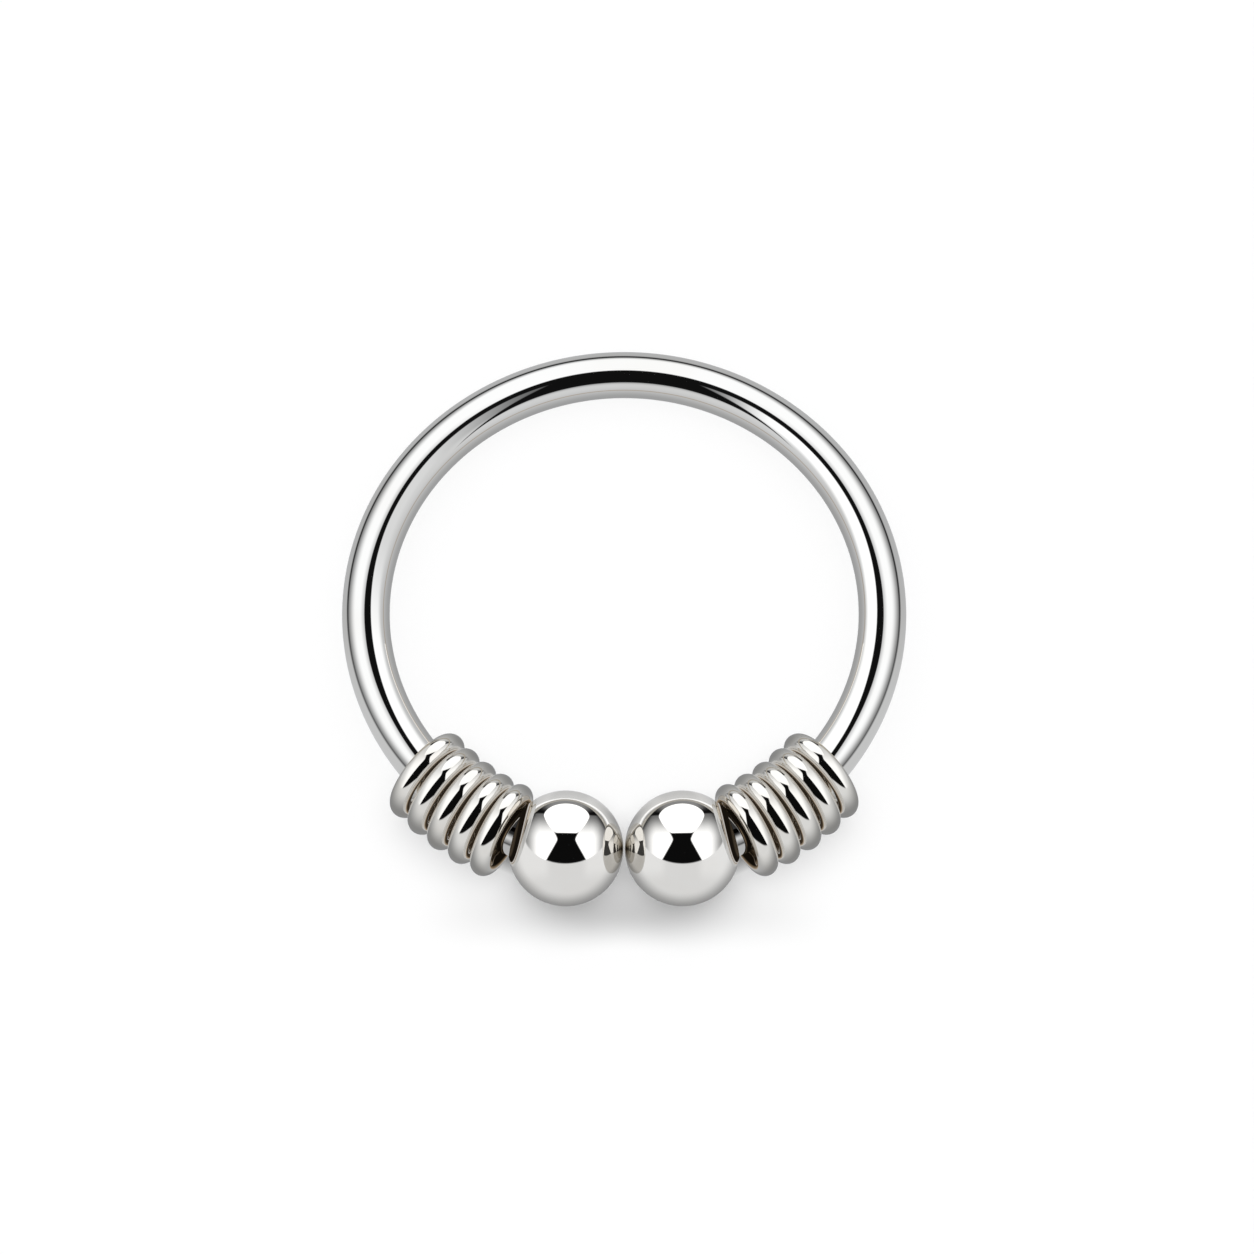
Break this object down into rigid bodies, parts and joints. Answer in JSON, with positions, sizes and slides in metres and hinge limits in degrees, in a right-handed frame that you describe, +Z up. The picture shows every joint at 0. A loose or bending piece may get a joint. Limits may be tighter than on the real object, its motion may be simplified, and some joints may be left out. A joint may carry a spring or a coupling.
{
  "type": "nose hoop",
  "caption": "Polished silver open nose hoop whose wire ends carry round beads, with snug rows of plain round-wire rings beside them.",
  "frame": {"origin": "on the ground under the middle of the lying hoop's box, halfway between the bead side and the far side", "axes": "+Z up from the ground, close to square to the hoop; -Y towards the opening with the beads; +X to the right as seen from above with the beads in front"},
  "size_m": [0.0096, 0.01, 0.0019],
  "materials": {
    "hoop_silver": "mirror-polished drawn silver wire",
    "bead_silver": "mirror-polished silver bead",
    "ring_silver": "polished silver, slightly warmer in the grooves"
  },
  "bodies": {
    "root": {"hoop_wire": "hoop_silver", "bead_left": "bead_silver", "bead_right": "bead_silver", "ring_left_1": "ring_silver", "ring_left_2": "ring_silver", "ring_left_3": "ring_silver", "ring_left_4": "ring_silver", "ring_left_5": "ring_silver", "ring_right_1": "ring_silver", "ring_right_2": "ring_silver", "ring_right_3": "ring_silver", "ring_right_4": "ring_silver", "ring_right_5": "ring_silver"}
  },
  "joints": []
}
